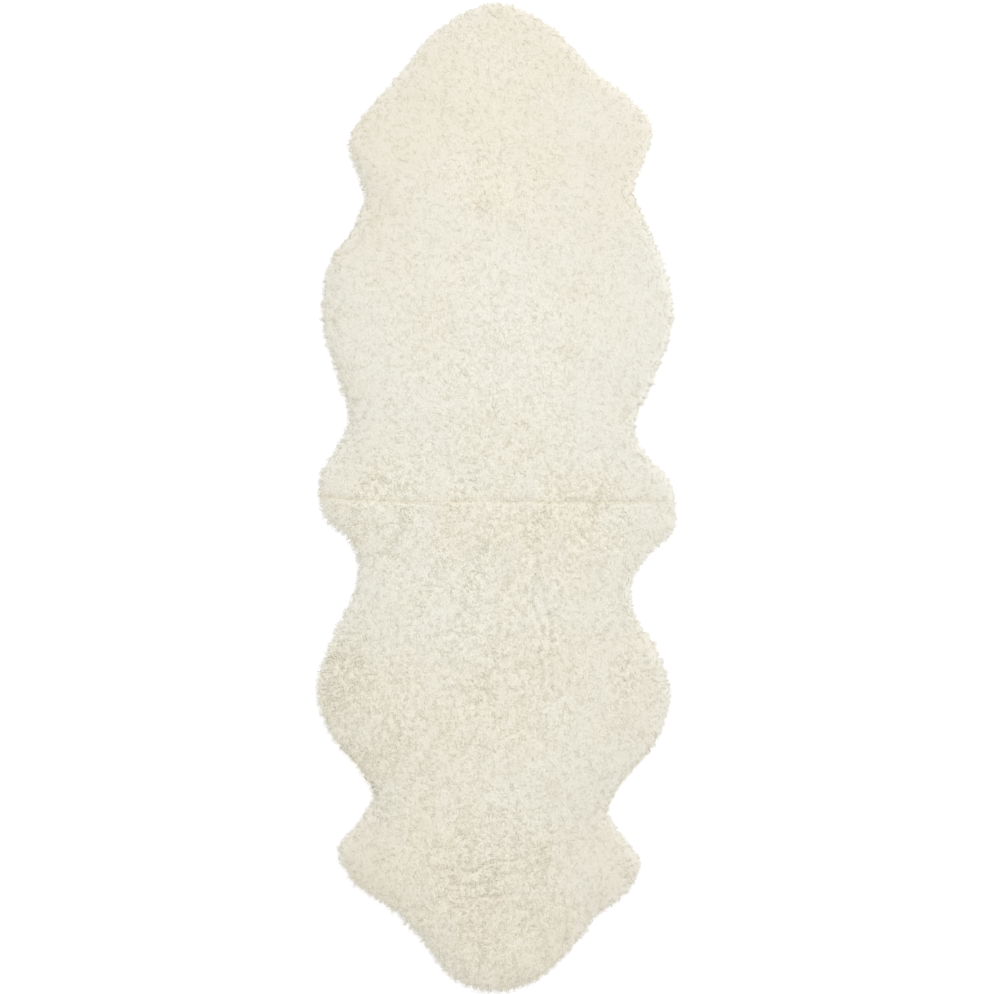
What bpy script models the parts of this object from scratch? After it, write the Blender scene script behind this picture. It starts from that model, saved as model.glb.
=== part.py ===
"""A double sheepskin rug: two ivory sheepskins sewn rump to rump, lying flat with the wool up.

Each skin is a hide, the thin leather with the suede side down, and the fleece that grows on it,
a lumpy mass of wool whose rim parts into locks that spread out over the floor.

Units are metres, +Z is up and +Y runs from the seam to the neck of the upper skin. The origin is
on the floor, under the middle of the rug.
"""

import math

import bmesh
import bpy
import numpy as np

MM = 0.001

# ---- driving sizes -------------------------------------------------------------------------

SEAM_Y = -8 * MM  # where the two skins meet: the upper skin is a little the longer
SEAM_LIFT = 9 * MM  # how far the seam bends towards the upper neck at its left end
SEAM_STRAIGHT_TO = -150 * MM  # the seam is straight to the right of this
SEAM_END_X = -320 * MM  # its left end
BEND_FADES = 120 * MM  # the outline next to the bent seam is level again this far from it
GAP = 0.3 * MM  # between pieces that touch
WELD = 0.01 * MM  # points nearer than this are one

HIDE_THICKNESS = 2 * MM
HIDE_INSET = 12 * MM  # from the fleece's wall in to the hide's cut edge
SKIVE_REACH = 3.5 * MM  # the hides are pared thin this far from the seam, for the stitches
SKIVE_DEPTH = 1 * MM

PILE_TOP = 44 * MM  # the wool's usual top above the floor, hide included
RIM_HEIGHT = 15 * MM  # the wool's height where its rim parts into locks
ROUNDING = 52 * MM  # how far in from the rim the wool reaches its full height
SEAM_DIP = 11 * MM  # how far the wool sinks along the seam
SEAM_DIP_REACH = 15 * MM

LOCK_REACH = 15 * MM  # how far the rim's locks usually stand out from the fleece's wall
LOCK_SPREAD = 5 * MM  # how much one lock's reach differs from the next
LOCK_SWAY = 3.5 * MM  # how far a lock's tip bends to one side
LOCK_STEPS = (
    # name, share of the reach that it adds, width and height as shares of the last step's
    ("middle", 0.5, 0.78, 0.72),
    ("tip", 0.5, 0.33, 0.28),
)
LOCK_SEED = 11

COLUMNS = 36  # of the fleece's surface, across
ROWS = 40  # from the seam to the fore legs
BEND_STEPS = 8  # along the bent end of the seam
CURVE_STEPS = 16  # on the outline between two landmarks

# The outline of each skin as seen from above, to the tips of the wool, clockwise from the left
# end of the seam. Millimetres out from the centreline, and along from the seam to the neck.
UPPER_SKIN = (
    # landmark, out, along
    ("seam left", -321, 0),
    ("hind leg left", -319, 42),
    ("thigh left", -292, 93),
    ("waist left", -267, 146),
    ("flank left", -285, 220),
    ("belly left", -316, 340),
    ("ribs left", -299, 440),
    ("shoulder left", -254, 505),
    ("armpit left", -239, 550),
    ("fore leg back left", -256, 612),
    ("fore leg left", -267, 655),
    ("fore leg front left", -248, 692),
    ("neck left", -184, 766),
    ("nape left", -106, 858),
    ("neck end", 2, 908),
    ("nape right", 99, 866),
    ("neck right", 180, 784),
    ("fore leg front right", 266, 712),
    ("fore leg right", 287, 677),
    ("fore leg back right", 271, 624),
    ("armpit right", 252, 566),
    ("shoulder right", 272, 514),
    ("ribs right", 308, 430),
    ("belly right", 325, 335),
    ("flank right", 285, 214),
    ("waist right", 254, 126),
    ("thigh right", 276, 84),
    ("hind leg right", 318, 38),
    ("seam right", 327, 0),
)
LOWER_SKIN = (
    # landmark, out, along
    ("seam left", -321, 0),
    ("hind leg left", -312, 34),
    ("thigh left", -270, 68),
    ("waist left", -250, 112),
    ("loin left", -254, 156),
    ("flank left", -290, 234),
    ("belly left", -325, 350),
    ("ribs left", -302, 420),
    ("shoulder left", -240, 496),
    ("armpit left", -221, 532),
    ("fore leg back left", -246, 580),
    ("fore leg left", -287, 640),
    ("fore leg front left", -266, 682),
    ("neck left", -168, 761),
    ("throat left", -128, 806),
    ("nape left", -78, 868),
    ("neck end", 0, 892),
    ("nape right", 66, 876),
    ("throat right", 140, 812),
    ("neck right", 179, 761),
    ("fore leg front right", 248, 698),
    ("fore leg right", 264, 660),
    ("fore leg back right", 234, 614),
    ("armpit right", 204, 560),
    ("shoulder right", 232, 508),
    ("ribs right", 295, 433),
    ("belly right", 318, 350),
    ("flank right", 292, 266),
    ("loin right", 252, 200),
    ("waist right", 248, 150),
    ("thigh right", 284, 92),
    ("hind leg right", 325, 52),
    ("seam right", 328, 0),
)

# The slow swells of the wool.
SWELLS = (
    # wavelength mm, heading degrees, height mm, offset degrees
    (330, 18, 1.3, 40),
    (190, 74, 1.5, 200),
    (137, -37, 1.3, 95),
    (96, 52, 1.1, 310),
    (73, -8, 0.9, 150),
)

# The soft troughs where the wool parts, in millimetres from the origin.
PARTINGS = (
    # name, x and y of one end, x and y of the other, half width, depth
    ("nape", 10, 700, 2, 560, 16, 3.0),
    ("withers", -30, 590, -24, 480, 14, 3.0),
    ("rump", 70, -90, 96, -250, 15, 3.5),
    ("spine", 92, -230, 84, -480, 15, 5.0),
    ("spine foot", 80, -500, 88, -690, 14, 4.0),
    ("loin", -60, -380, -46, -560, 15, 3.5),
    ("throat", -70, -640, 60, -612, 13, 3.5),
)

IVORY_WOOL = (0.82, 0.77, 0.66, 1.0)
PALE_SUEDE = (0.62, 0.50, 0.36, 1.0)


# ---- outlines ------------------------------------------------------------------------------


def run_along(points):
    """How far along its line each point lies."""
    steps = np.linalg.norm(np.diff(points, axis=0), axis=1)
    return np.concatenate([[0.0], np.cumsum(steps)])


def smooth_curve(points):
    """A smooth curve through the points, as cubic spans whose slopes come from their neighbours."""
    run = run_along(points)
    slopes = np.gradient(points, run, axis=0)
    span = np.diff(run)[:, None]
    s = np.linspace(0, 1, CURVE_STEPS, endpoint=False)[:, None, None]
    spans = (
        (2 * s**3 - 3 * s**2 + 1) * points[:-1]
        + (s**3 - 2 * s**2 + s) * slopes[:-1] * span
        + (3 * s**2 - 2 * s**3) * points[1:]
        + (s**3 - s**2) * slopes[1:] * span
    )
    return np.concatenate([spans.transpose(1, 0, 2).reshape(-1, 2), points[-1:]])


def evenly(curve, count):
    """The curve again as count equal steps."""
    run = run_along(curve)
    at = np.linspace(0, run[-1], count + 1)
    return np.stack([np.interp(at, run, curve[:, k]) for k in (0, 1)], axis=1)


def inset(curve, distance):
    """A skin's outline moved in by a distance, with its two ends kept on the seam."""
    along = np.gradient(curve, axis=0)
    along /= np.linalg.norm(along, axis=1, keepdims=True)
    inwards = np.stack([along[:, 1], -along[:, 0]], axis=1)
    moved = curve + distance * inwards
    moved[[0, -1], 1] = 0.0
    return moved


def skin_rim(skin, distance):
    """A skin's outline moved in by a distance: left side, neck and right side, each with equal steps."""
    points = np.array([(out, along) for _, out, along in skin]) * MM
    curve = inset(smooth_curve(points), distance)
    names = [name for name, _, _ in skin]
    first = names.index("fore leg left") * CURVE_STEPS
    last = names.index("fore leg right") * CURVE_STEPS
    return (
        evenly(curve[: first + 1], ROWS),
        evenly(curve[first : last + 1], COLUMNS),
        evenly(curve[last:], ROWS),
    )


def hide_loop(skin):
    """The closed outline of a skin's hide, clockwise like its table."""
    left, neck, right = skin_rim(skin, LOCK_REACH + HIDE_INSET)
    bend = np.linspace(SEAM_STRAIGHT_TO, left[0, 0], BEND_STEPS)[:-1]
    seam = np.column_stack([bend, np.zeros_like(bend)])
    loop = np.concatenate([left, neck[1:-1], right, seam])
    loop[loop[:, 1] == 0, 1] = GAP / 2
    return loop


def widened(loop, distance):
    """A clockwise outline with every side moved out by a distance."""
    ahead = np.roll(loop, -1, axis=0) - loop
    ahead /= np.linalg.norm(ahead, axis=1, keepdims=True)
    normals = np.stack([-ahead[:, 1], ahead[:, 0]], axis=1)
    before = np.roll(normals, 1, axis=0)
    facing = (normals * before).sum(axis=1, keepdims=True)
    return loop + distance * (normals + before) / (1 + facing)


def placed(points, side):
    """Out and along as x and y on the rug. side is 1 for the upper skin and -1 for the lower one."""
    x, along = points[:, 0], points[:, 1]
    bend = np.clip((SEAM_STRAIGHT_TO - x) / (SEAM_STRAIGHT_TO - SEAM_END_X), 0, 1)
    fading = np.clip(1 - along / BEND_FADES, 0, 1)
    return np.stack([x, SEAM_Y + side * along + SEAM_LIFT * bend**2 * fading], axis=1)


# ---- the fleece's surface ------------------------------------------------------------------


def loft(rim, u, v):
    """Points of a skin for u across and v along, from 0 to 1, blended from its four edges."""
    left, neck, right = rim
    right = right[::-1]
    seam = np.linspace(left[0], right[0], COLUMNS + 1)
    columns, rows = np.arange(COLUMNS + 1) / COLUMNS, np.arange(ROWS + 1) / ROWS

    def on(edge, stations, at):
        return np.stack([np.interp(at, stations, edge[:, k]) for k in (0, 1)], axis=1)

    a, b = u[:, None], v[:, None]
    sides = (1 - a) * on(left, rows, v) + a * on(right, rows, v)
    ends = (1 - b) * on(seam, columns, u) + b * on(neck, columns, u)
    corners = (1 - b) * ((1 - a) * left[0] + a * right[0]) + b * (
        (1 - a) * left[-1] + a * right[-1]
    )
    return sides + ends - corners


def distance_to_line(points, start, end):
    """How far each point is from the straight line between two points."""
    way = end - start
    share = np.clip((points - start) @ way / (way @ way), 0, 1)
    return np.linalg.norm(points - start - share[:, None] * way, axis=1)


def pile_height(points, along, rim_points):
    """The wool's top above the floor, at places x and y that lie this far along from the seam."""
    from_rim = np.linalg.norm(points[:, None] - rim_points[None], axis=2).min(axis=1)
    rise = np.sqrt(1 - (1 - np.clip(from_rim / ROUNDING, 0, 1)) ** 2)
    top = np.full(len(points), PILE_TOP)
    for wavelength, heading, height, offset in SWELLS:
        turn = math.radians(heading)
        way = points @ np.array([math.cos(turn), math.sin(turn)])
        wave = 2 * math.pi * way / (wavelength * MM) + math.radians(offset)
        top += height * MM * np.sin(wave)
    for _, x0, y0, x1, y1, half_width, depth in PARTINGS:
        ends = np.array([(x0, y0), (x1, y1)]) * MM
        off = distance_to_line(points, *ends) / (half_width * MM)
        top -= depth * MM * np.exp(-(off**2))
    top -= SEAM_DIP * np.exp(-((along / SEAM_DIP_REACH) ** 2))
    return RIM_HEIGHT + (top - RIM_HEIGHT) * rise


# ---- solids --------------------------------------------------------------------------------


def material(name, colour, roughness):
    """A plain matt material."""
    made = bpy.data.materials.new(name)
    made.use_nodes = True
    shader = made.node_tree.nodes["Principled BSDF"]
    shader.inputs["Base Color"].default_value = colour
    shader.inputs["Roughness"].default_value = roughness
    shader.inputs["Metallic"].default_value = 0.0
    made.diffuse_color = colour
    return made


def collection(name):
    """A new collection of the scene."""
    made = bpy.data.collections.new(name)
    bpy.context.scene.collection.children.link(made)
    return made


def flat_piece(name, loop, low, high, home):
    """A flat solid with this outline between two heights, from a filled 2D curve."""
    curve = bpy.data.curves.new(name + " outline", "CURVE")
    curve.dimensions = "2D"
    curve.fill_mode = "BOTH"
    curve.extrude = (high - low) / 2
    spline = curve.splines.new("POLY")
    spline.points.add(len(loop) - 1)
    flat = np.column_stack([loop, np.zeros(len(loop)), np.ones(len(loop))])
    spline.points.foreach_set("co", flat.ravel())
    spline.use_cyclic_u = True
    drawn = bpy.data.objects.new(name + " outline", curve)
    drawn.location.z = (low + high) / 2
    home.objects.link(drawn)
    bpy.context.view_layer.update()

    graph = bpy.context.evaluated_depsgraph_get()
    mesh = bpy.data.meshes.new_from_object(drawn.evaluated_get(graph))
    mesh.name = name
    shape = bmesh.new()
    shape.from_mesh(mesh)
    bmesh.ops.remove_doubles(shape, verts=shape.verts, dist=WELD)
    bmesh.ops.recalc_face_normals(shape, faces=shape.faces)
    shape.to_mesh(mesh)
    shape.free()
    piece = bpy.data.objects.new(name, mesh)
    piece.matrix_world = drawn.matrix_world
    home.objects.link(piece)
    bpy.data.objects.remove(drawn)
    bpy.data.curves.remove(curve)
    return piece


def cut(piece, cutter):
    """Cuts the cutter out of the piece, and keeps the cutter out of sight."""
    cutter.hide_render = True
    cutter.display_type = "WIRE"
    modifier = piece.modifiers.new(cutter.name, "BOOLEAN")
    modifier.operation = "DIFFERENCE"
    modifier.solver = "EXACT"
    modifier.object = cutter


def grow_lock(shape, wall, chance):
    """Draws one wall face of the rim out into a tapering lock that lies on the floor."""
    wall.normal_update()
    outward = wall.normal.copy()
    across = outward.cross((0, 0, 1))
    middle = wall.calc_center_median()
    away = outward * (LOCK_REACH + LOCK_SPREAD * chance.uniform(-1, 1))
    sway = across * LOCK_SWAY * chance.uniform(-1, 1)
    end = wall
    for _, share, width, height in LOCK_STEPS:
        (end,) = bmesh.ops.extrude_discrete_faces(shape, faces=[end])["faces"]
        for corner in end.verts:
            aside = (corner.co - middle).dot(across)
            corner.co += across * aside * (width - 1) + away * share
            corner.co.z *= height
        middle += away * share
    for corner in end.verts:
        corner.co += sway


def fleece(name, skin, side, home, finish):
    """A skin's wool as one solid, whose rim parts into locks."""
    rim = skin_rim(skin, LOCK_REACH)
    rim_points = placed(np.concatenate(rim), side)
    shape = bmesh.new()
    bmesh.ops.create_grid(shape, x_segments=COLUMNS, y_segments=ROWS, size=1.0)
    at = np.array([corner.co for corner in shape.verts])
    points = loft(rim, (at[:, 0] + 1) / 2, (at[:, 1] + 1) / 2)
    points[:, 1] = np.maximum(points[:, 1], GAP / 2)
    on_rug = placed(points, side)
    heights = pile_height(on_rug, points[:, 1], rim_points)
    for corner, place, height in zip(shape.verts, on_rug, heights):
        corner.co = (*place, height)

    at_seam = {
        corner for corner, (_, along) in zip(shape.verts, points) if along < GAP
    }
    border = [edge for edge in shape.edges if edge.is_boundary]
    rim_edges = [edge for edge in border if not at_seam.issuperset(edge.verts)]
    drawn = bmesh.ops.extrude_edge_only(shape, edges=border)["geom"]
    for corner in drawn:
        if isinstance(corner, bmesh.types.BMVert):
            corner.co.z = 0.0
    walls = [
        face
        for edge in rim_edges
        for face in edge.link_faces
        if any(corner.co.z == 0.0 for corner in face.verts)
    ]
    foot = [edge for edge in shape.edges if edge.is_boundary]
    bmesh.ops.contextual_create(shape, geom=foot)
    bmesh.ops.recalc_face_normals(shape, faces=shape.faces)
    chance = np.random.default_rng(LOCK_SEED + side)
    for wall in walls:
        grow_lock(shape, wall, chance)
    bmesh.ops.recalc_face_normals(shape, faces=shape.faces)

    mesh = bpy.data.meshes.new(name)
    shape.to_mesh(mesh)
    shape.free()
    mesh.materials.append(finish)
    piece = bpy.data.objects.new(name, mesh)
    home.objects.link(piece)
    return piece


def seam_strip(half_width):
    """The outline of a strip that follows the seam and runs out past both its ends."""
    bend = np.linspace(SEAM_END_X, SEAM_STRAIGHT_TO, BEND_STEPS)
    past = 2 * SEAM_END_X
    x = np.concatenate([[past], bend, [-past]])
    middle = placed(np.column_stack([x, np.zeros_like(x)]), 1)
    edge = np.array([0, half_width])
    return np.concatenate([middle - edge, (middle + edge)[::-1]])


# ---- the rug -------------------------------------------------------------------------------


def main():
    for left_over in list(bpy.data.objects):
        bpy.data.objects.remove(left_over)
    rug = collection("double sheepskin rug")
    cutters = collection("cutters")
    wool = material("ivory wool", IVORY_WOOL, 0.9)
    suede = material("pale suede", PALE_SUEDE, 0.8)
    strip = seam_strip(SKIVE_REACH)
    skive = flat_piece("skive", strip, -SKIVE_DEPTH, SKIVE_DEPTH, cutters)

    for which, skin, side in (("upper", UPPER_SKIN, 1), ("lower", LOWER_SKIN, -1)):
        loop = hide_loop(skin)
        blank = placed(loop, side)
        hide = flat_piece("hide_" + which, blank, 0.0, HIDE_THICKNESS, rug)
        hide.data.materials.clear()
        hide.data.materials.append(suede)
        cut(hide, skive)

        room = placed(widened(loop, GAP), side)
        room_top = HIDE_THICKNESS + GAP
        recess = flat_piece(which + "_recess", room, -room_top, room_top, cutters)
        cut(fleece("fleece_" + which, skin, side, rug, wool), recess)


main()
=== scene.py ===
import math

import bpy
import numpy as np
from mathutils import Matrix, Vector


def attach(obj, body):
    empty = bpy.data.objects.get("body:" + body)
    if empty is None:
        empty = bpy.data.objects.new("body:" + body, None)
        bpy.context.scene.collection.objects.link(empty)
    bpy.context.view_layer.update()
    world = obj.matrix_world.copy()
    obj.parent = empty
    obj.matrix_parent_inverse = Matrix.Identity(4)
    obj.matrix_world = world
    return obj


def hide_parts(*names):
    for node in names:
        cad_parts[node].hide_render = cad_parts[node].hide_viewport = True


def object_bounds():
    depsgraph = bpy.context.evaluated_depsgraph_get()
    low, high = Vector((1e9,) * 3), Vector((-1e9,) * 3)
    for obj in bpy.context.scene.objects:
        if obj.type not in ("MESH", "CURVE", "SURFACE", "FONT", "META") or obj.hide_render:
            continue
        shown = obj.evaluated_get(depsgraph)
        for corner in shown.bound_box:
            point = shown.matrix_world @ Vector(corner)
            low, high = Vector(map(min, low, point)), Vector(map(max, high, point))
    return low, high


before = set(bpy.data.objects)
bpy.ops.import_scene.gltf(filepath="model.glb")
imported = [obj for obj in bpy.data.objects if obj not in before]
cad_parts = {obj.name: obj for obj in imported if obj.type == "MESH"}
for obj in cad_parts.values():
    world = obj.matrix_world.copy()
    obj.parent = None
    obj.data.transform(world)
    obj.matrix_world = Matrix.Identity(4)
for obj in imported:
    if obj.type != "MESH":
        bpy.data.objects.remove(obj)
cad_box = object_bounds()

# %% [markdown]
# # A double sheepskin rug
#
# The rug is two whole sheepskins sewn rump to rump. Each one is a thin hide with its suede side
# on the floor and a thick coat of ivory wool on top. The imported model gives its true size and
# place. Here the plain wool solids are dressed as a real fleece: a dense curly mat, thousands of
# thin curls over it, and fine locks that fall over its rim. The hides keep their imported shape
# and get a suede finish, and the seam gets its stitches.

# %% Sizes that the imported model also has
MM = 0.001
SEAM_Y = -8 * MM
SEAM_LIFT = 9 * MM
SEAM_STRAIGHT_TO = -150 * MM
SEAM_END_X = -320 * MM
BEND_FADES = 120 * MM
GAP = 0.3 * MM
HIDE_THICKNESS = 2 * MM
PILE_TOP = 44 * MM
CURVE_STEPS = 16

print("the packed rug measures", [round(b - a, 4) for a, b in zip(*cad_box)], "m")

# %% [markdown]
# ## The outline of a sheepskin
#
# A sheepskin isn't cut to a pattern. It keeps the shape of the animal: the hind legs at the seam,
# a waist, the wide belly, the notch behind the fore legs, and the neck. A circle or a spline
# drawn by hand would miss that. A short list of named landmarks says it best, and a smooth curve
# through them gives the tips of the wool all round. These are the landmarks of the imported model.

# %% The landmarks of both skins
UPPER_SKIN = (
    # landmark, out mm, along mm
    ("seam left", -321, 0),
    ("hind leg left", -319, 42),
    ("thigh left", -292, 93),
    ("waist left", -267, 146),
    ("flank left", -285, 220),
    ("belly left", -316, 340),
    ("ribs left", -299, 440),
    ("shoulder left", -254, 505),
    ("armpit left", -239, 550),
    ("fore leg back left", -256, 612),
    ("fore leg left", -267, 655),
    ("fore leg front left", -248, 692),
    ("neck left", -184, 766),
    ("nape left", -106, 858),
    ("neck end", 2, 908),
    ("nape right", 99, 866),
    ("neck right", 180, 784),
    ("fore leg front right", 266, 712),
    ("fore leg right", 287, 677),
    ("fore leg back right", 271, 624),
    ("armpit right", 252, 566),
    ("shoulder right", 272, 514),
    ("ribs right", 308, 430),
    ("belly right", 325, 335),
    ("flank right", 285, 214),
    ("waist right", 254, 126),
    ("thigh right", 276, 84),
    ("hind leg right", 318, 38),
    ("seam right", 327, 0),
)
LOWER_SKIN = (
    # landmark, out mm, along mm
    ("seam left", -321, 0),
    ("hind leg left", -312, 34),
    ("thigh left", -270, 68),
    ("waist left", -250, 112),
    ("loin left", -254, 156),
    ("flank left", -290, 234),
    ("belly left", -325, 350),
    ("ribs left", -302, 420),
    ("shoulder left", -240, 496),
    ("armpit left", -221, 532),
    ("fore leg back left", -246, 580),
    ("fore leg left", -287, 640),
    ("fore leg front left", -266, 682),
    ("neck left", -168, 761),
    ("throat left", -128, 806),
    ("nape left", -78, 868),
    ("neck end", 0, 892),
    ("nape right", 66, 876),
    ("throat right", 140, 812),
    ("neck right", 179, 761),
    ("fore leg front right", 248, 698),
    ("fore leg right", 264, 660),
    ("fore leg back right", 234, 614),
    ("armpit right", 204, 560),
    ("shoulder right", 232, 508),
    ("ribs right", 295, 433),
    ("belly right", 318, 350),
    ("flank right", 292, 266),
    ("loin right", 252, 200),
    ("waist right", 248, 150),
    ("thigh right", 284, 92),
    ("hind leg right", 325, 52),
    ("seam right", 328, 0),
)
SKINS = {"upper": (UPPER_SKIN, 1), "lower": (LOWER_SKIN, -1)}


# %% A smooth outline through the landmarks
def run_along(points):
    """How far along its line each point lies: the running sum of the steps between them."""
    steps = np.linalg.norm(np.diff(points, axis=0), axis=1)
    return np.concatenate([[0.0], np.cumsum(steps)])


def smooth_curve(points):
    """Cubic Hermite spans: each leaves and meets its points with the slope of their neighbours."""
    run = run_along(points)
    slopes = np.gradient(points, run, axis=0)
    span = np.diff(run)[:, None]
    s = np.linspace(0, 1, CURVE_STEPS, endpoint=False)[:, None, None]
    spans = (
        (2 * s**3 - 3 * s**2 + 1) * points[:-1]
        + (s**3 - 2 * s**2 + s) * slopes[:-1] * span
        + (3 * s**2 - 2 * s**3) * points[1:]
        + (s**3 - s**2) * slopes[1:] * span
    )
    return np.concatenate([spans.transpose(1, 0, 2).reshape(-1, 2), points[-1:]])


def evenly(curve, count):
    """The curve again as count equal steps along its length."""
    run = run_along(curve)
    at = np.linspace(0, run[-1], count + 1)
    return np.stack([np.interp(at, run, curve[:, k]) for k in (0, 1)], axis=1)


def inset(curve, distance):
    """Each point moved along the inward normal, which is the tangent turned a quarter clockwise."""
    along = np.gradient(curve, axis=0)
    along /= np.linalg.norm(along, axis=1, keepdims=True)
    moved = curve + distance * np.stack([along[:, 1], -along[:, 0]], axis=1)
    moved[[0, -1], 1] = 0.0
    return moved


def skin_rim(skin, distance, rows, columns):
    """Left side, neck and right side of a skin's outline, moved in, each in equal steps."""
    points = np.array([(out, along) for _, out, along in skin]) * MM
    curve = inset(smooth_curve(points), distance)
    names = [name for name, _, _ in skin]
    first = names.index("fore leg left") * CURVE_STEPS
    last = names.index("fore leg right") * CURVE_STEPS
    return (
        evenly(curve[: first + 1], rows),
        evenly(curve[first : last + 1], columns),
        evenly(curve[last:], rows),
    )


def seam_lift(x, along):
    """The seam bends up towards its left end: lift times the square of the way into the bend."""
    bend = np.clip((SEAM_STRAIGHT_TO - x) / (SEAM_STRAIGHT_TO - SEAM_END_X), 0, 1)
    return SEAM_LIFT * bend**2 * np.clip(1 - along / BEND_FADES, 0, 1)


def placed(points, side):
    """Out and along as x and y. side is 1 for the upper skin and -1 for the lower one."""
    x, along = points[:, 0], points[:, 1]
    return np.stack([x, SEAM_Y + side * along + seam_lift(x, along)], axis=1)


def from_seam(points, side):
    """How far along a skin its points x and y lie from the seam."""
    near = side * (points[:, 1] - SEAM_Y)
    return side * (points[:, 1] - SEAM_Y - seam_lift(points[:, 0], np.abs(near)))


for which, (skin, side) in SKINS.items():
    tips = placed(smooth_curve(np.array([row[1:] for row in skin]) * MM), side)
    print(which, "skin spans", np.ptp(tips, axis=0).round(3), "m to the tips of its wool")

# %% [markdown]
# ## How high the wool stands
#
# The wool is longest over the back and rounds down to the rim in a quarter of an ellipse. Slow
# swells run through it, it sinks a little along the seam where the stitches pull it down, and it
# parts in soft troughs where the skin was folded. Sculpting could do this, but not twice the same
# way for the mat and for the locks. So all of it is one height function, and every piece of wool
# agrees on where the top of the wool is.

# %% Slow random waves
WAVES = 6
WAVE_STRETCH = (0.7, 1.5)
WAVE_GAIN = 1.6


def wander(points, wavelength, seed):
    """A smooth random number from about -1 to 1 at each point: the mean of a few crossing waves.

    The seed is any fixed whole number. Each use below has its own, so that no two go together.
    """
    chance = np.random.default_rng(seed)
    turns = chance.uniform(0, 2 * math.pi, WAVES)
    stretch = chance.uniform(*WAVE_STRETCH, WAVES)
    offsets = chance.uniform(0, 2 * math.pi, WAVES)
    ways = np.stack([np.cos(turns), np.sin(turns)]) * stretch * 2 * math.pi / wavelength
    return np.sin(points @ ways + offsets).mean(axis=1) * WAVE_GAIN


# %% Swells, partings and the height function
RIM_HEIGHT = 25 * MM
EDGE_REACH = 8 * MM
ROUNDING = 60 * MM
SEAM_DIP = 7 * MM
SEAM_DIP_REACH = 7 * MM
BENT_BY = 6 * MM
BEND_WAVELENGTH = 70 * MM
SWELLS = (
    # wavelength mm, heading degrees, height mm, offset degrees
    (330, 18, 1.3, 40),
    (190, 74, 1.5, 200),
    (137, -37, 1.3, 95),
    (96, 52, 1.1, 310),
    (73, -8, 0.9, 150),
)
PARTINGS = (
    # name, x and y of one end, x and y of the other, half width, depth, all in mm
    ("nape", 10, 700, 2, 560, 5, 4.5),
    ("withers left", -55, 590, -30, 520, 4.5, 3.0),
    ("withers right", -30, 512, 46, 545, 4.5, 5.0),
    ("rump", 38, -8, 70, -125, 5.5, 4.0),
    ("loin", 70, -125, 98, -215, 5, 5.0),
    ("spine", 98, -215, 102, -350, 5, 6.0),
    ("beside the spine", 62, -190, 84, -240, 4.5, 5.0),
    ("beside the ribs", 84, -240, 82, -470, 5, 5.5),
    ("right ribs", 134, -270, 136, -350, 4.5, 4.5),
    ("left withers", -46, -520, -64, -610, 4.5, 5.0),
    ("neck", 38, -556, 36, -680, 4.5, 5.0),
    ("throat left", -64, -674, 28, -658, 4, 7.0),
    ("throat right", 28, -658, 90, -636, 4, 5.0),
    ("throat below left", -70, -708, 12, -690, 4, 6.0),
    ("throat below", -24, -728, 44, -716, 4, 5.0),
)


def nearest(points, others, block=4000):
    """For each point the distance to the nearest of the others, and which one it is."""
    found = [
        ((part[:, None] - others[None]) ** 2).sum(axis=2)
        for part in np.split(points, range(block, len(points), block))
    ]
    which = np.concatenate([square.argmin(axis=1) for square in found])
    return np.linalg.norm(points - others[which], axis=1), which


def distance_to_line(points, start, end):
    """How far each point is from the straight line between two points."""
    way = end - start
    share = np.clip((points - start) @ way / (way @ way), 0, 1)
    return np.linalg.norm(points - start - share[:, None] * way, axis=1)


def quarter_ellipse(share):
    """From 0 to 1 as its share of the way goes from 0 to 1: steep at first, and level at 1."""
    return np.sqrt(1 - (1 - np.clip(share, 0, 1)) ** 2)


def pile_height(points, along, from_tips):
    """A quarter of an ellipse from the tips up to the rim, and a wider, flatter one from there.

    Sine waves add the swells. A bell across each parting and one across the seam take off.
    """
    bend = [wander(points, BEND_WAVELENGTH, seed) for seed in (21, 22)]
    bent = points + BENT_BY * np.stack(bend, axis=1)
    edge = quarter_ellipse(from_tips / EDGE_REACH)
    rise = quarter_ellipse((from_tips - EDGE_REACH) / ROUNDING)
    top = np.full(len(points), PILE_TOP)
    for wavelength, heading, height, offset in SWELLS:
        turn = math.radians(heading)
        way = points @ np.array([math.cos(turn), math.sin(turn)])
        wave = 2 * math.pi * way / (wavelength * MM) + math.radians(offset)
        top += height * MM * np.sin(wave)
    for _, x0, y0, x1, y1, half_width, depth in PARTINGS:
        ends = np.array([(x0, y0), (x1, y1)]) * MM
        off = distance_to_line(bent, *ends) / (half_width * MM)
        top -= depth * MM * np.exp(-(off**2))
    uneven = 0.75 + 0.5 * wander(points, 60 * MM, 23) + 0.3 * wander(points, 14 * MM, 24)
    top -= SEAM_DIP * uneven * np.exp(-((along / SEAM_DIP_REACH) ** 2))
    return RIM_HEIGHT * edge + (top - RIM_HEIGHT) * rise


# %% [markdown]
# ## Curds and crevices
#
# A fleece isn't even. Where it was brushed it lies smooth, and where it is tousled the wool
# gathers in curds, small lumps with crevices between them. A noise texture would look like hills.
# Uneven cells make better curds: each point belongs to the nearest of many scattered middles, and
# a crevice runs where two middles are equally near. The cells are wider than long, and bent by
# slow waves, so that the crevices wander. Three sizes of cell are laid over each other, and a
# list of bell-shaped patches says how tousled the wool is, here and for the curls later on.

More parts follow.
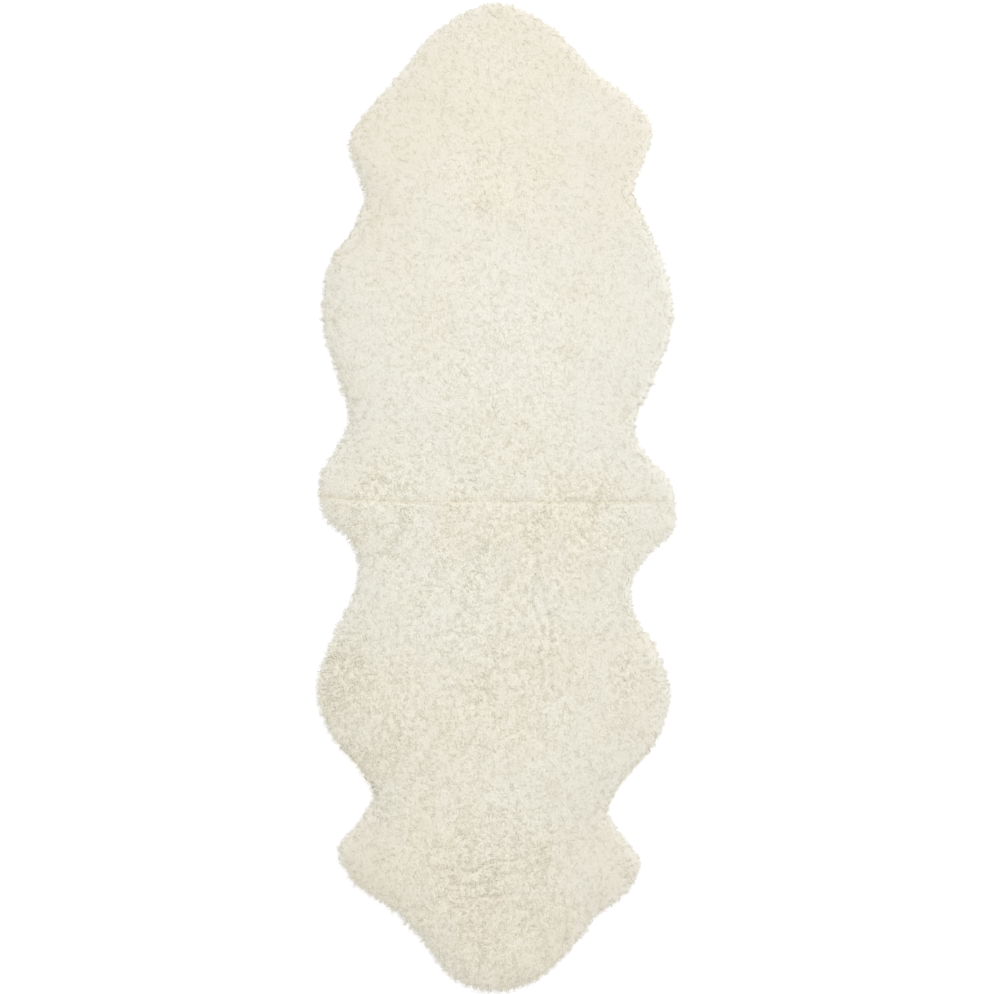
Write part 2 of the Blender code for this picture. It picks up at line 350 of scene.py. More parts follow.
# %% How tousled the wool is
TOUSLED = (
    # name, x mm, y mm, reach mm, strength
    ("lower left flank", -280, -330, 90, 0.7),
    ("lower left side", -200, -430, 150, 0.4),
    ("lower right belly", 250, -330, 100, 0.25),
    ("lower back", 0, -325, 215, 0.35),
    ("lower neck", -15, -665, 155, 0.48),
    ("lower throat", -20, -790, 110, 0.4),
    ("rump", -20, -70, 250, 0.35),
    ("left hind legs", -190, -10, 90, 0.5),
    ("right hind legs", 150, -40, 110, 0.45),
    ("upper back", -10, 210, 260, 0.22),
    ("upper withers", -10, 570, 90, 0.2),
    ("upper neck", 0, 800, 120, 0.12),
)
LEAST_TOUSLED = 0.1


def bell(points, x, y, reach):
    """1 at a patch's middle, and falling off as a bell. x, y and the reach of it are in mm."""
    square = ((points - np.array([x, y]) * MM) ** 2).sum(axis=1)
    return np.exp(-square / (reach * MM) ** 2)


def tousle(points):
    """The strongest of the patches at each point, made uneven by waves, plus the least value."""
    value = np.zeros(len(points))
    for _, x, y, reach, strength in TOUSLED:
        value = np.maximum(value, strength * bell(points, x, y, reach))
    patchy = 0.8 + 0.35 * wander(points, 110 * MM, 35) + 0.25 * wander(points, 45 * MM, 36)
    return np.clip(LEAST_TOUSLED + value * patchy, 0, 1)


# %% Cells and the crevices between them
def cells(points, size, seed):
    """The nearest scattered middle of each point, and how much nearer it is than the next one.

    There is one middle in each box of a grid, so only the nine boxes around a point count.
    """
    origin = np.array(cad_box[0][:2]) - 2 * size
    boxes = np.ceil((np.array(cad_box[1][:2]) - origin) / size).astype(int) + 3
    middle_of = np.random.default_rng(seed).uniform(0.05, 0.95, (*boxes, 2))
    box = np.floor((points - origin) / size).astype(int)
    middles, away = [], []
    for step in np.ndindex(3, 3):
        near = np.clip(box + np.array(step) - 1, 0, boxes - 1)
        middle = origin + (near + middle_of[near[:, 0], near[:, 1]]) * size
        middles.append(middle)
        away.append(np.linalg.norm((points - middle) / size, axis=1))
    away = np.array(away)
    first = away.argmin(axis=0)
    nearest_two = np.sort(away, axis=0)[:2]
    return np.array(middles)[first, np.arange(len(points))], nearest_two[1] - nearest_two[0]


# %% Curds of three sizes
CURDS = (
    # size across mm, size along mm, crevice half width as a share of the size, depth mm, evenness
    (34, 15, 0.1, 6.0, 0.0),
    (15, 10, 0.22, 2.4, 0.04),
    (8, 6, 0.4, 2.3, 0.12),
)
DOME_SHARE = 0.25
DOME_REACH = 0.8
CURD_BEND_WAVELENGTH = 55 * MM


def crevices(points):
    """How deep the crevices are at each point, and a push from each point to its curd's middle.

    The depth is a bell of the lead of the nearest middle over the next, plus a dome over the
    curd, times how tousled the wool is there. A curd's evenness is the share of its depth that
    stays where the wool is smooth: the smallest curds have the most.
    """
    bend = [wander(points, CURD_BEND_WAVELENGTH, seed) for seed in (31, 32)]
    bent = points + BENT_BY * np.stack(bend, axis=1)
    stirred = tousle(points)
    broken = np.clip(0.55 + 0.6 * wander(points, 60 * MM, 33), 0.05, 1)
    depth = np.zeros(len(points))
    push = np.zeros(points.shape)
    for seed, (across, along, share, deep, even) in enumerate(CURDS, start=41):
        size = np.array([across, along]) * MM
        middle, lead = cells(bent, size, seed)
        dome = 1 - np.clip(lead / DOME_REACH, 0, 1)
        dip = (1 - DOME_SHARE) * np.exp(-((lead / share) ** 2)) + DOME_SHARE * dome
        dip *= even + (1 - even) * stirred * broken
        depth += deep * MM * dip
        push += dip[:, None] * (middle - bent) / size
    return depth, push, stirred


# %% [markdown]
# ## The mat of wool
#
# Seen from a step away a fleece is one soft curly surface, not single hairs. Particle hair would
# take millions of strands to close up like that, and wouldn't export. So a fine mat carries the
# look. It is a closed body: a grid blended from the skin's four edges (a Coons patch) for its
# top, a skirt that drops from the grid's border, and one flat face underneath. The grid follows
# the height of the wool, its curds and its partings, and stands out in tufts at the rim. The two
# mats meet over the seam along one slightly wavy border. The curls of single fibres are finer
# than the grid, so they are in the material.

# %% A mesh from whole arrays
def mesh_piece(name, points, faces, material, smooth=True):
    """A mesh object at the origin, made from an array of points and lists of faces."""
    mesh = bpy.data.meshes.new(name)
    mesh.from_pydata(points.tolist(), [], faces)
    mesh.polygons.foreach_set("use_smooth", np.full(len(mesh.polygons), smooth))
    mesh.materials.append(material)
    mesh.update()
    piece = bpy.data.objects.new(name, mesh)
    bpy.context.scene.collection.objects.link(piece)
    return piece


def point_values(piece, name, values):
    """Stores one number at each point of a piece, for its material to read."""
    layer = piece.data.attributes.new(name, "FLOAT", "POINT")
    layer.data.foreach_set("value", np.asarray(values, np.float32))


# %% The mat's grid and its tufts
MAT_COLUMNS, MAT_ROWS = 250, 378
MAT_INSET = 3 * MM
MAT_BELOW = 0.8 * MM
TUFT = 3.6 * MM
TUFT_FADES = 6 * MM
SKIN_MIDDLE = 450 * MM
SEAM_WIGGLE = 0.9 * MM
WIGGLE_FADES = 8 * MM
LOWEST_TOP = 4 * MM


def loft(rim, u, v):
    """A Coons patch: blend of sides plus blend of ends, less the blend of the corners."""
    left, neck, right = rim
    right = right[::-1]
    columns, rows = len(neck) - 1, len(left) - 1
    seam = np.linspace(left[0], right[0], columns + 1)

    def on(edge, at):
        stations = np.linspace(0, 1, len(edge))
        return np.stack([np.interp(at, stations, edge[:, k]) for k in (0, 1)], axis=1)

    a, b = u[:, None], v[:, None]
    sides = (1 - a) * on(left, v) + a * on(right, v)
    ends = (1 - b) * on(seam, u) + b * on(neck, u)
    near_corners = (1 - a) * left[0] + a * right[0]
    far_corners = (1 - a) * left[-1] + a * right[-1]
    return sides + ends - (1 - b) * near_corners - b * far_corners


def tufted(on_rug, side, from_edge):
    """Points near the rim, moved away from the skin's middle or back by the sum of two waves.

    It fades with the distance from the mat's edge, and towards the seam.
    """
    tufts = TUFT * (wander(on_rug, 17 * MM, 61) + 0.5 * wander(on_rug, 8 * MM, 62))
    outward = on_rug - (0, side * SKIN_MIDDLE)
    outward /= np.linalg.norm(outward, axis=1, keepdims=True)
    along = np.maximum(side * (on_rug[:, 1] - SEAM_Y), 0)
    tufts *= np.exp(-from_edge / TUFT_FADES) * np.clip(along / (5 * TUFT_FADES), 0, 1)
    return on_rug + tufts[:, None] * outward


def wiggled(on_rug, along):
    """Points near the seam, moved along the rug by waves of x alone, so that both mats agree."""
    across = on_rug * (1, 0)
    wiggle = SEAM_WIGGLE * (wander(across, 26 * MM, 63) + 0.5 * wander(across, 11 * MM, 64))
    return np.stack([on_rug[:, 0], on_rug[:, 1] + wiggle * np.exp(-along / WIGGLE_FADES)], axis=1)


# %% The mat as a closed body
def underwool(name, skin, side, material):
    """The closed mat: top at (u, v) is the loft at the pile's height less a little.

    The skirt is a ring of faces from the border of the grid straight down to the hide.
    """
    rim = skin_rim(skin, MAT_INSET, MAT_ROWS, MAT_COLUMNS)
    u, v = np.meshgrid(
        np.linspace(0, 1, MAT_COLUMNS + 1), np.linspace(0, 1, MAT_ROWS + 1)
    )
    flat = loft(rim, u.ravel(), v.ravel())
    flat[:, 1] = np.maximum(flat[:, 1], 0)
    on_rug = wiggled(placed(flat, side), flat[:, 1])
    edge = placed(np.concatenate(rim), side)
    from_edge, _ = nearest(on_rug, edge)
    from_tips = from_edge + MAT_INSET
    depth, _, stirred = crevices(on_rug)
    height = pile_height(on_rug, flat[:, 1], from_tips) - depth - MAT_BELOW
    on_rug = tufted(on_rug, side, from_edge)
    top = np.column_stack([on_rug, np.maximum(height, LOWEST_TOP)])

    at = np.arange(len(flat)).reshape(MAT_ROWS + 1, MAT_COLUMNS + 1)
    quads = np.stack([at[:-1, :-1], at[:-1, 1:], at[1:, 1:], at[1:, :-1]], axis=2)
    border = np.concatenate([at[0, :-1], at[:-1, -1], at[-1, :0:-1], at[:0:-1, 0]])
    foot = top[border] * (1, 1, 0) + (0, 0, HIDE_THICKNESS + 2 * GAP)
    below = len(top) + np.arange(len(border))
    skirt = np.stack(
        [np.roll(border, -1), border, below, np.roll(below, -1)], axis=1
    )
    faces = quads.reshape(-1, 4).tolist() + skirt.tolist() + [below[::-1].tolist()]
    if side < 0:
        faces = [face[::-1] for face in faces]
    mat = mesh_piece(name, np.concatenate([top, foot]), faces, material)
    places = np.concatenate([top, foot])[:, :2]
    point_values(mat, "warmth", creaminess(places))
    point_values(mat, "seam", seam_shows(places))
    # The mat's even middle shade, plus painted shade near the rim.
    shade = 0.5 + painted_rim_shade(from_tips)
    point_values(mat, "shade", np.concatenate([shade, shade[border]]))
    point_values(mat, "stirred", np.concatenate([stirred, stirred[border]]))
    return mat


# %% [markdown]
# ## Where the locks grow
#
# Wool grows in locks, small bundles of curly fibres, and the tips of some of them show over the
# mat as thin curls. They stand in an uneven honeycomb, so a jittered hexagonal grid is a good
# start: a plain random scatter would leave bald places beside heaps. A test then keeps only the
# places inside the outline.

# %% Scattering points
LOCK_SPACING = 6.2 * MM


def honeycomb(spacing, jitter, seed):
    """Points of a hexagonal grid over the rug, each moved by up to a share of the spacing."""
    chance = np.random.default_rng(seed)
    (x0, y0, _), (x1, y1, _) = cad_box
    row_step = spacing * math.sqrt(3) / 2
    x, y = np.meshgrid(np.arange(x0, x1, spacing), np.arange(y0, y1, row_step))
    x[1::2] += spacing / 2
    grid = np.stack([x.ravel(), y.ravel()], axis=1)
    return grid + jitter * spacing * chance.uniform(-1, 1, grid.shape)


def inside(points, loop, block=4000):
    """Whether a ray from each point to the right crosses the closed loop an odd number of times."""
    a, b = loop, np.roll(loop, -1, axis=0)
    results = []
    for part in np.split(points, range(block, len(points), block)):
        x, y = part[:, :1], part[:, 1:]
        spans = (a[:, 1] > y) != (b[:, 1] > y)
        rise = np.where(a[:, 1] == b[:, 1], 1.0, b[:, 1] - a[:, 1])
        crossing = a[:, 0] + (y - a[:, 1]) / rise * (b[:, 0] - a[:, 0])
        results.append((spans & (x < crossing)).sum(axis=1) % 2 == 1)
    return np.concatenate(results)


# %% [markdown]
# ## The shape of a lock
#
# A lock rises from the wool, leans over and ends in a small curl. Its centreline is a path whose
# slope turns from upright to level while its heading swings round, and its section is a flat
# oval that narrows to the tip. There are thousands, so each has only three sides and a few rings,
# and all of them are worked out together as one array of lock, ring, side and coordinate.

# %% Many locks at once
RINGS = 4
SIDES = 3
FLATNESS = 0.6
STATIONS = np.array([0.0, 0.3, 0.58, 0.83, 1.0])
FIRST_CORNER = math.pi / 6


def path_of(roots, heading, slope, curl, length):
    """The way and the place of each lock's centreline at its stations.

    With t the share of the way along a lock, its slope and heading turn with t, and the line is
    the running sum of short steps in that direction.
    """
    t = STATIONS
    lean = slope[:, :1] + (slope[:, 1:] - slope[:, :1]) * t**1.3
    turn = heading[:, None] + curl[:, None] * t**1.5
    way = np.stack(
        [np.sin(lean) * np.cos(turn), np.sin(lean) * np.sin(turn), np.cos(lean)], axis=2
    )
    steps = (way[:, 1:] + way[:, :-1]) / 2 * (length[:, None] * np.diff(t))[:, :, None]
    line = np.concatenate([roots[:, None], roots[:, None] + steps.cumsum(axis=1)], axis=1)
    return way, line


def grow(roots, heading, slope, curl, length, width, taper, floor):
    """Locks as points (lock, ring, side, xyz) and tips.

    Each ring is an oval across the line, as wide as the lock times 1 less taper t squared, and
    rounded off at the tip. No ring reaches below the lock's floor.
    """
    t = STATIONS
    way, line = path_of(roots, heading, slope, curl, length)
    rounded = (0.8 + 0.2 * np.minimum(t / 0.25, 1)) * np.sqrt(1 - t**7)
    half = width[:, None] / 2 * rounded * (1 - taper[:, None] * t**2)
    line[:, :, 2] = np.maximum(line[:, :, 2], floor[:, None] + half * FLATNESS)
    across = np.stack([-way[:, :, 1], way[:, :, 0], np.zeros(line.shape[:2])], axis=2)
    across /= np.linalg.norm(across, axis=2, keepdims=True)
    over = np.cross(way, across)
    around = np.arange(SIDES) * 2 * math.pi / SIDES + FIRST_CORNER
    ring = across[:, :RINGS, None] * np.cos(around)[:, None]
    ring = ring + over[:, :RINGS, None] * np.sin(around)[:, None] * FLATNESS
    shells = line[:, :RINGS, None] + ring * half[:, :RINGS, None, None]
    return shells, line[:, RINGS]


# %% One mesh of many locks
BAKE_MARGIN = 0.06


def lock_faces():
    """The faces of one lock, and for each corner how far round and along the lock it lies."""
    faces, places = [], []
    tip = RINGS * SIDES
    for ring in range(RINGS):
        for k in range(SIDES):
            a, b = ring * SIDES + k, ring * SIDES + (k + 1) % SIDES
            if ring < RINGS - 1:
                faces.append([a, b, b + SIDES, a + SIDES])
                places += [(k, ring), (k + 1, ring), (k + 1, ring + 1), (k, ring + 1)]
            else:
                faces.append([a, b, tip])
                places += [(k, ring), (k + 1, ring), (k + 0.5, ring + 1)]
    faces.append(list(range(SIDES))[::-1])
    places += [(k, 0) for k in range(SIDES)][::-1]
    return faces, np.array(places) / (SIDES, RINGS)


def lock_piece(name, shells, tips, shade, covered, material):
    """One mesh of many locks, with where each corner lies along its lock as a UV map.

    The map "fibres" is the same for all locks but for a whole-number shift, so that their streaks
    differ. In the map "OFBake" each lock has a square of its own. covered is how much of the
    root's deeper colour the locks show: 1 in the fleece, less outside.
    """
    count = len(tips)
    per_lock = RINGS * SIDES + 1
    points = np.concatenate([shells.reshape(count, -1, 3), tips[:, None]], axis=1)
    faces, places = lock_faces()
    loops = np.concatenate([np.array(face) for face in faces])
    sizes = np.array([len(face) for face in faces])
    starts = np.arange(count)[:, None] * per_lock
    all_loops = (starts + loops).ravel()
    all_sizes = np.tile(sizes, count)

    mesh = bpy.data.meshes.new(name)
    mesh.vertices.add(count * per_lock)
    mesh.vertices.foreach_set("co", points.astype(np.float32).ravel())
    mesh.loops.add(len(all_loops))
    mesh.loops.foreach_set("vertex_index", all_loops.astype(np.int32))
    mesh.polygons.add(len(all_sizes))
    begins = np.concatenate([[0], np.cumsum(all_sizes)[:-1]])
    mesh.polygons.foreach_set("loop_start", begins.astype(np.int32))
    mesh.polygons.foreach_set("use_smooth", np.ones(len(all_sizes), bool))
    mesh.update(calc_edges=True)

    chance = np.random.default_rng(count)
    own = chance.uniform(0, 50, (count, 1, 2)).round()
    fibres = mesh.uv_layers.new(name="fibres")
    fibres.data.foreach_set("uv", (places + own).astype(np.float32).ravel())
    rows = math.ceil(math.sqrt(count))
    cell = np.stack([np.arange(count) % rows, np.arange(count) // rows], axis=1)
    spread = (cell[:, None] + BAKE_MARGIN + (1 - 2 * BAKE_MARGIN) * places) / rows
    bake = mesh.uv_layers.new(name="OFBake")
    bake.data.foreach_set("uv", spread.astype(np.float32).ravel())

    mesh.materials.append(material)
    piece = bpy.data.objects.new(name, mesh)
    bpy.context.scene.collection.objects.link(piece)
    point_values(piece, "shade", np.repeat(shade, per_lock))
    roots = shells[:, 0].mean(axis=1)[:, :2]
    point_values(piece, "warmth", np.repeat(creaminess(roots), per_lock))
    point_values(piece, "seam", np.repeat(seam_shows(roots), per_lock))
    point_values(piece, "stirred", np.repeat(tousle(roots), per_lock))
    from_tip = 1 - np.append(np.arange(RINGS).repeat(SIDES), RINGS) / RINGS
    point_values(piece, "tip", np.tile(1 - covered * from_tip, count))
    return piece


# %% [markdown]
# ## The colour of the wool
#
# The wool is undyed. It is a pale ivory that is creamier in patches, and each lock differs a
# little from the next. Towards its root a lock is deeper in colour, where less light reaches it
# and some of the wool's own grease stays, and the same deeper colour shows in the seam. One
# node group makes this tone for every wool material, so that the mat and its locks match. Each
# material hands it what the meshes carry as attributes: warmth, shade, seam, how stirred the
# wool is and, on a lock, how near the tip.

# %% Helpers for node materials
def new_group(name, inputs, outputs):
    """An empty shader node group with named sockets."""
    group = bpy.data.node_groups.new(name, "ShaderNodeTree")
    for label, kind, value in inputs:
        socket = group.interface.new_socket(label, in_out="INPUT", socket_type=kind)
        socket.default_value = value
    for label, kind in outputs:
        group.interface.new_socket(label, in_out="OUTPUT", socket_type=kind)
    return group


class Nodes:
    """Adds nodes to a tree, joins them, and gives back the socket to go on from.

    A value that isn't a socket is set on the input instead of joined to it.
    """

    def __init__(self, tree):
        self.tree = tree

    def add(self, kind, **settings):
        node = self.tree.nodes.new(kind)
        for key, value in settings.items():
            setattr(node, key, value)
        return node

    def plug(self, value, socket):
        if isinstance(value, bpy.types.NodeSocket):
            self.tree.links.new(value, socket)
        else:
            socket.default_value = value

    def math(self, operation, a, b=0.0, clamp=False):
        node = self.add("ShaderNodeMath", operation=operation, use_clamp=clamp)
        self.plug(a, node.inputs[0])
        self.plug(b, node.inputs[1])
        return node.outputs[0]

    def mix(self, share, a, b, blend="MIX"):
        node = self.add("ShaderNodeMix", data_type="RGBA", blend_type=blend)
        self.plug(share, node.inputs[0])
        self.plug(a, node.inputs[6])
        self.plug(b, node.inputs[7])
        return node.outputs[2]

    def range(self, value, low, high, to_low=0.0, to_high=1.0):
        node = self.add("ShaderNodeMapRange", interpolation_type="SMOOTHSTEP")
        for k, each in enumerate((value, low, high, to_low, to_high)):
            self.plug(each, node.inputs[k])
        return node.outputs[0]

    def noise(self, vector, scale, detail=2.0, roughness=0.5):
        node = self.add("ShaderNodeTexNoise")
        self.plug(vector, node.inputs["Vector"])
        node.inputs["Scale"].default_value = scale
        node.inputs["Detail"].default_value = detail
        node.inputs["Roughness"].default_value = roughness
        return node.outputs["Fac"]

    def stretched(self, vector, scale):
        node = self.add("ShaderNodeMapping")
        self.plug(vector, node.inputs["Vector"])
        node.inputs["Scale"].default_value = scale
        return node.outputs["Vector"]

    def attribute(self, name):
        return self.add("ShaderNodeAttribute", attribute_name=name).outputs["Fac"]

    def bump(self, height, distance, strength=1.0, under=None):
        node = self.add("ShaderNodeBump")
        self.plug(height, node.inputs["Height"])
        self.plug(distance, node.inputs["Distance"])
        self.plug(strength, node.inputs["Strength"])
        if under is not None:
            self.plug(under, node.inputs["Normal"])
        return node.outputs["Normal"]


# %% The colour of wool as a group
IVORY = (0.91, 0.882, 0.735, 1)
CREAM = (0.91, 0.838, 0.665, 1)
# The root's colour: the wool's own grease, and painted shade where little light reaches down
# between the locks.
GREASE_AND_SHADE = (0.88, 0.80, 0.60, 1)
# Painted light: the rim's wool is paler and less yellow, in place of the light that passes through
# it.
PALE_IVORY = (0.91, 0.90, 0.84, 1)
PALE_CREAM = (0.91, 0.87, 0.77, 1)
SHADE_DIMS = 0.06
CRIMP_BUMP_AND_SHADE = (300, 2.0, 0.6)


def wool_tone_group():
    """Ivory to cream by warmth, then the root's colour, times the shade, streaks and the painted
    light and shade of the crimp.

    Stirred wool shows more of the painted crimp shade. It is painted a little paler to make up for
    its shadows, and smooth wool a little deeper.
    """
    group = new_group(
        "Wool tone",
        [
            ("Ivory", "NodeSocketColor", IVORY),
            ("Cream", "NodeSocketColor", CREAM),
            ("Root", "NodeSocketColor", GREASE_AND_SHADE),
            ("Warmth", "NodeSocketFloat", 0.5),
            ("Shade", "NodeSocketFloat", 0.5),
            ("Tip", "NodeSocketFloat", 1.0),
            ("Streak", "NodeSocketFloat", 0.5),
            ("Stirred", "NodeSocketFloat", 0.5),
            ("Seam", "NodeSocketFloat", 0.0),
        ],
        [("Color", "NodeSocketColor")],
    )
    n = Nodes(group)
    given = n.add("NodeGroupInput").outputs
    place = n.add("ShaderNodeTexCoord").outputs["Object"]
    patches = n.range(n.noise(place, 9.0, 3.0), 0.3, 0.7, -0.35, 0.35)
    warmth = n.math("ADD", given["Warmth"], patches, clamp=True)
    tone = n.mix(warmth, given["Ivory"], given["Cream"])
    # Painted shade and grease: towards its root a lock takes the root's deeper colour.
    rooted = n.range(given["Tip"], 0.15, 0.85, 0.15, 0.0)
    tone = n.mix(rooted, tone, given["Root"])
    # Painted shade in the seam's parting, with the grease colour: the seam takes the root's deeper
    # colour.
    tone = n.mix(n.math("MULTIPLY", given["Seam"], 0.75), tone, given["Root"])
    dim = n.math("SUBTRACT", 1.0, n.math("MULTIPLY", given["Shade"], SHADE_DIMS))
    streaks = n.range(given["Streak"], 0.3, 0.7, 0.93, 1.03)
    # Painted light and shade of the fine curls: a noise makes the tone up to a tenth lighter and
    # darker.
    crimp = n.range(n.noise(place, *CRIMP_BUMP_AND_SHADE), 0.3, 0.7, -0.1, 0.1)
    shows = n.range(given["Stirred"], 0.0, 0.3, 0.3, 1.0)
    crimp = n.math("ADD", n.math("MULTIPLY", crimp, shows), 1.0)
    # Painted light and shade: stirred wool is painted paler to make up for its shadows, and smooth
    # wool a little deeper.
    painted_lift = n.range(given["Stirred"], 0.0, 0.5, 0.95, 1.065)
    value = n.math("MULTIPLY", n.math("MULTIPLY", dim, streaks), crimp)
    value = n.math("MULTIPLY", value, painted_lift)
    grey = n.add("ShaderNodeCombineColor")
    for k in range(3):
        n.plug(value, grey.inputs[k])
    tone = n.mix(1.0, tone, grey.outputs[0], blend="MULTIPLY")
    out = n.add("NodeGroupOutput")
    n.plug(tone, out.inputs["Color"])
    return group


WOOL_TONE = wool_tone_group()


# %% [markdown]
# ## The surface of the wool
#
# Curly fibres are bands that wander, so a wave texture bent by noise draws them, and its bump
# gives the mat its grain. On a lock the fibres run along it, so there the fine streaks follow
# the lock's own map. Both get the same small crimp, and wide soft loops where the wool is
# stirred. The outermost locks are paler, because the light passes through them.

# %% Bands bent into curls
FIBRES = (160, ((60, 30 * MM), (240, 6 * MM)))
LOOPS = (42, ((45, 30 * MM), (130, 9 * MM)))
ALONG_LOCK = (34, 3.2, 1)


def curly_bands(n, place, scale, bends):
    """Even bands, bent into curls by noise: a place moves by up to the reach of each noise."""
    bent = place
    for fineness, reach in bends:
        noise = n.add("ShaderNodeTexNoise")
        n.plug(place, noise.inputs["Vector"])
        noise.inputs["Scale"].default_value = fineness
        centred = n.add("ShaderNodeVectorMath", operation="SUBTRACT")
        n.plug(noise.outputs["Color"], centred.inputs[0])
        centred.inputs[1].default_value = (0.5, 0.5, 0.5)
        moved = n.add("ShaderNodeVectorMath", operation="MULTIPLY_ADD")
        n.plug(centred.outputs[0], moved.inputs[0])
        moved.inputs[1].default_value = (reach, reach, reach)
        n.plug(bent, moved.inputs[2])
        bent = moved.outputs[0]
    bands = n.add("ShaderNodeTexWave", bands_direction="X")
    n.plug(bent, bands.inputs["Vector"])
    bands.inputs["Scale"].default_value = scale
    bands.inputs["Distortion"].default_value = 2.0
    return bands.outputs["Fac"]


# %% The wool materials
def wool_material(name, on_locks, ivory=IVORY, cream=CREAM):
    """Wool: matt with a soft sheen. Three bumps lie over each other: streaks, crimp and loops."""
    made = bpy.data.materials.new(name)
    made.use_nodes = True
    n = Nodes(made.node_tree)
    shader = made.node_tree.nodes["Principled BSDF"]
    coordinates = n.add("ShaderNodeTexCoord").outputs
    tone = n.add("ShaderNodeGroup", node_tree=WOOL_TONE)
    tone.inputs["Ivory"].default_value = ivory
    tone.inputs["Cream"].default_value = cream
    if on_locks:
        along = n.add("ShaderNodeUVMap", uv_map="fibres").outputs["UV"]
        streak = n.noise(n.stretched(along, ALONG_LOCK), 1.0, 3.0, 0.6)
        n.plug(n.attribute("tip"), tone.inputs["Tip"])
    else:
        streak = curly_bands(n, coordinates["Object"], *FIBRES)
        tone.inputs["Tip"].default_value = 0.8
    for given in ("shade", "warmth", "seam", "stirred"):
        n.plug(n.attribute(given), tone.inputs[given.capitalize()])
    n.plug(streak, tone.inputs["Streak"])
    n.plug(tone.outputs["Color"], shader.inputs["Base Color"])
    stirred = n.attribute("stirred")
    normal = n.bump(streak, 0.8 * MM, 0.4)
    crimp = n.noise(coordinates["Object"], *CRIMP_BUMP_AND_SHADE)
    normal = n.bump(crimp, 2.4 * MM, n.range(stirred, 0.0, 0.4, 0.7, 1.0), normal)
    loops = curly_bands(n, coordinates["Object"], *LOOPS)
    normal = n.bump(loops, 3 * MM, n.range(stirred, 0.05, 0.2, 0.1, 0.4), normal)
    n.plug(normal, shader.inputs["Normal"])
    shader.inputs["Roughness"].default_value = 0.82
    shader.inputs["Diffuse Roughness"].default_value = 1.0
    shader.inputs["Specular IOR Level"].default_value = 0.3
    shader.inputs["Sheen Weight"].default_value = 0.25
    shader.inputs["Sheen Roughness"].default_value = 0.45
    shader.inputs["Sheen Tint"].default_value = (1.0, 0.97, 0.9, 1)
    return made


LOCK_WOOL = wool_material("curly ivory wool", True)
# A paler copy of the wool for the rim: painted light, in place of the light that passes through it.
RIM_WOOL_PAINTED_LIGHTER = wool_material("fine rim wool painted lighter", True, PALE_IVORY, PALE_CREAM)
UNDERWOOL = wool_material("underwool", False)


# %% Where the wool is creamier, and where shade is painted at the seam and the rim
SEAM_SHOWS = 5.5 * MM
SEAM_LEFT = 300 * MM
PAINTED_RIM_SHADE_FADES = 80 * MM
RIM_TIPS = 14 * MM
CREAMY = (
    # name, x mm, y mm, reach mm, strength
    ("upper neck", 0, 800, 260, 1.0),
    ("upper left shoulder", -160, 590, 190, 0.75),
    ("upper right shoulder", 200, 620, 160, 0.6),
    ("below the seam left", -70, -36, 70, 0.7),
    ("below the seam right", 90, -30, 90, 0.6),
    ("lower belly", 200, -360, 160, 0.5),
    ("lower left side", -150, -400, 150, 0.7),
    ("lower left fore leg", -160, -700, 200, 0.9),
    ("lower right fore leg", 190, -680, 90, 0.6),
    ("lower neck", 40, -830, 170, 0.9),
)


# The seam is painted deeper: partly shade in its parting, partly the wool's own grease colour.
def seam_shows(points):
    """A narrow bell across the seam, stronger towards the left, and broken along it by waves."""
    off = points[:, 1] - SEAM_Y - seam_lift(points[:, 0], 0 * points[:, 0])
    left = np.clip(-points[:, 0] / SEAM_LEFT, 0, 1)
    slow = wander(points * (1, 0), 50 * MM, 65)
    quick = wander(points, 9 * MM, 66)
    broken = 0.55 + 0.45 * left + 0.45 * slow + 0.35 * quick
    return np.exp(-((off / SEAM_SHOWS) ** 2)) * np.clip(broken, 0, 1)


def painted_rim_shade(from_tips):
    """Painted shade: the wool is painted a little deeper near the rim, and paler again at its tips.
    """
    return np.exp(-from_tips / PAINTED_RIM_SHADE_FADES) * (1 - np.exp(-((from_tips / RIM_TIPS) ** 2)))


def creaminess(points):
    """One less the product of what each bell-shaped patch leaves of the plain ivory."""
    left = np.ones(len(points))
    for _, x, y, reach, strength in CREAMY:
        left *= 1 - strength * bell(points, x, y, reach)
    return 1 - left


# %% [markdown]
# ## The curls over the mat
#
# On the real fleece each lock ends in a curl, and these catch the light as fine commas. They
# could be scattered as instances, but each must fit the wool under it. So every curl reads the
# same fields at its root: the height of the wool, how tousled it is, and how far the rim and the
# seam are. It leans outwards near the rim, away from the seam beside it, and towards the middle
# of its curd, so that the crevices open. Tousled wool has many wide curls that stand up, and
# smooth wool has fewer thin ones that lie in the mat.

# %% Where the curls stand
FEWEST = 0.45
MORE_AT_RIM = 0.3
MORE_WHERE_TOUSLED = 2.3
RIM_PULL_REACH = 40 * MM
JITTER_OF_GRID = 0.33
OFF_SEAM = 1.5 * MM


def curl_places(skin, side, seed, chance):
    """Places inside a skin's wall, kept by chance: more where it is tousled and near the rim."""
    rim = skin_rim(skin, MAT_INSET + LOCK_SPACING / 2, 300, 260)
    edge = placed(np.concatenate(rim), side)
    points = honeycomb(LOCK_SPACING, JITTER_OF_GRID, seed)
    points = points[inside(points, edge)]
    along = from_seam(points, side)
    from_edge, nearest_edge = nearest(points, edge)
    from_tips = from_edge + MAT_INSET + LOCK_SPACING / 2
    rim_pull = np.clip(1 - from_tips / RIM_PULL_REACH, 0, 1) ** 1.5
    share = np.maximum(FEWEST + MORE_AT_RIM * rim_pull, MORE_WHERE_TOUSLED * tousle(points))
    keep = (along > OFF_SEAM) & (chance.random(len(points)) < share)
    outward = edge[nearest_edge[keep]] - points[keep]
    outward /= np.maximum(np.linalg.norm(outward, axis=1, keepdims=True), 1e-6)
    return points[keep], along[keep], from_tips[keep], rim_pull[keep], outward


